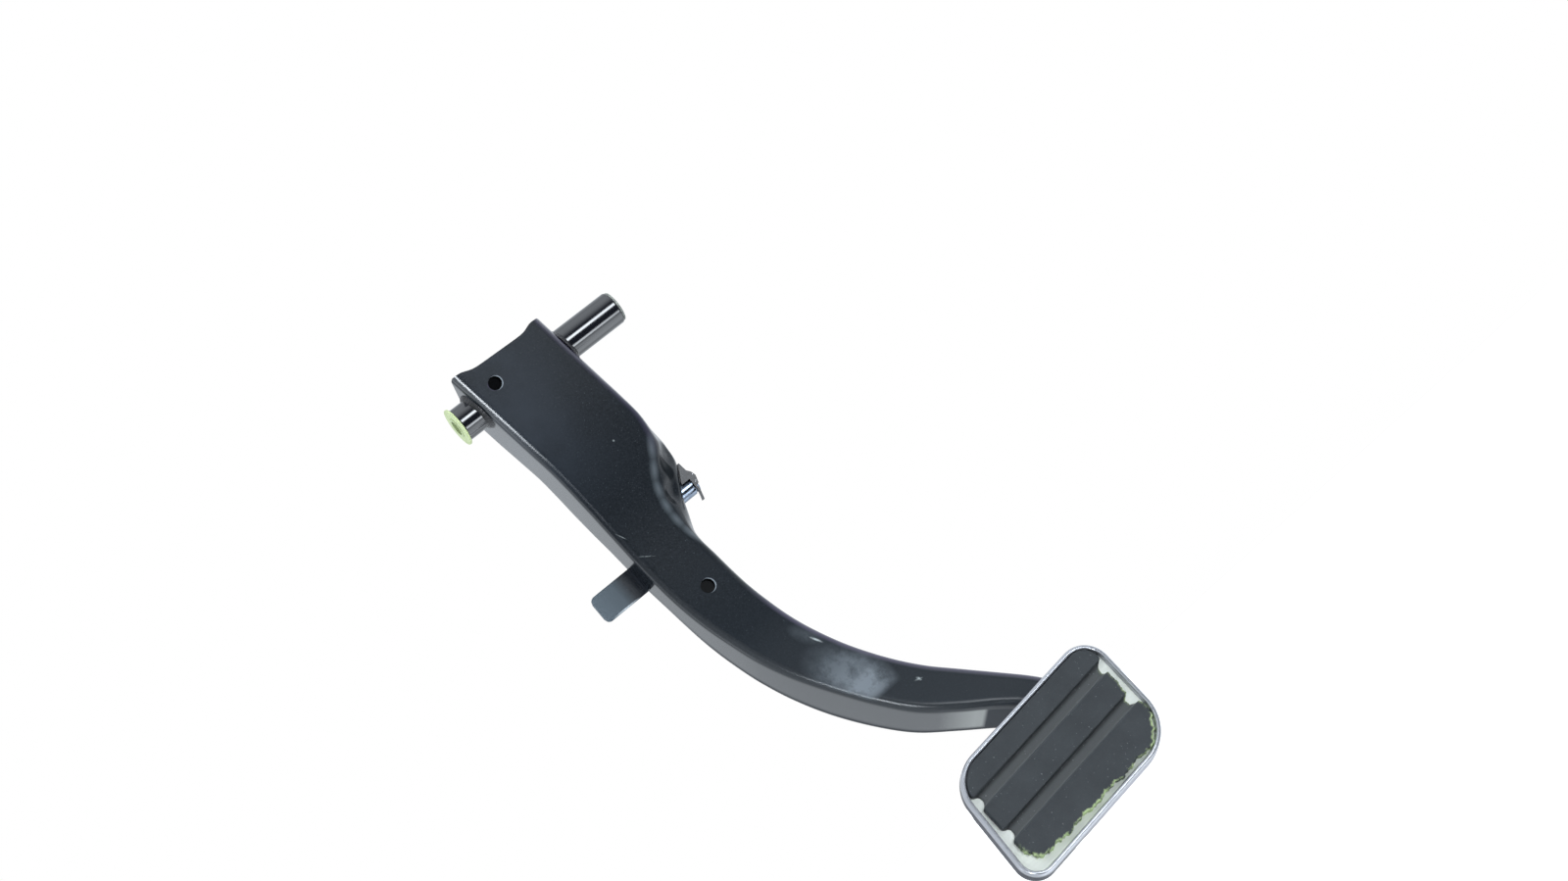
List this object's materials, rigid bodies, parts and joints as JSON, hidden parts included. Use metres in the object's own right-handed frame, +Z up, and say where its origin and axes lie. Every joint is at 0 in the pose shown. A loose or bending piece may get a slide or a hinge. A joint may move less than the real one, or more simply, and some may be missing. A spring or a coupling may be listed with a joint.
{
  "type": "brake pedal",
  "caption": "Suspended brake pedal: pressed steel channel arm on a bushed cross tube, with pushrod pin and clip, switch lug, and a rubber-faced foot pad in a metal trim tray",
  "frame": {"origin": "centre of the pivot bore, on the pivot axis, halfway along the cross tube", "axes": "+X along the pivot axis to the driver's right, +Y forward and away from the driver, +Z up; the pedal hangs at rest"},
  "size_m": [0.1657, 0.075, 0.3701],
  "materials": {
    "arm_paint": "satin black coat",
    "tube_paint": "gloss black coat",
    "weld_paint": "satin black coat",
    "bush_plastic": "moulded, pale yellow-green",
    "plain_steel": "turned",
    "pin_plate": "bright zinc plate",
    "clip_finish": "black moulded nylon",
    "trim_steel": "satin stainless",
    "pad_rubber": "worn rubber"
  },
  "bodies": {
    "sleeve": {"pivot_sleeve": "plain_steel"},
    "pedal": {"arm_pressing": "arm_paint", "pivot_tube": "tube_paint", "tube_weld_left": "weld_paint", "tube_weld_right": "weld_paint", "bush_left": "bush_plastic", "bush_right": "bush_plastic", "pushrod_pin": "pin_plate", "pin_weld": "weld_paint", "pushrod_clip": "clip_finish", "pad_plate": "weld_paint", "pad_weld": "weld_paint", "pad_tray": "trim_steel", "pad_rubber": "pad_rubber"}
  },
  "joints": [
    {"name": "pedal_swing", "type": "hinge", "parent": "sleeve", "child": "pedal", "pos_m": [0, 0, 0], "axis": [1, 0, 0], "range_deg": [0, 20]}
  ]
}
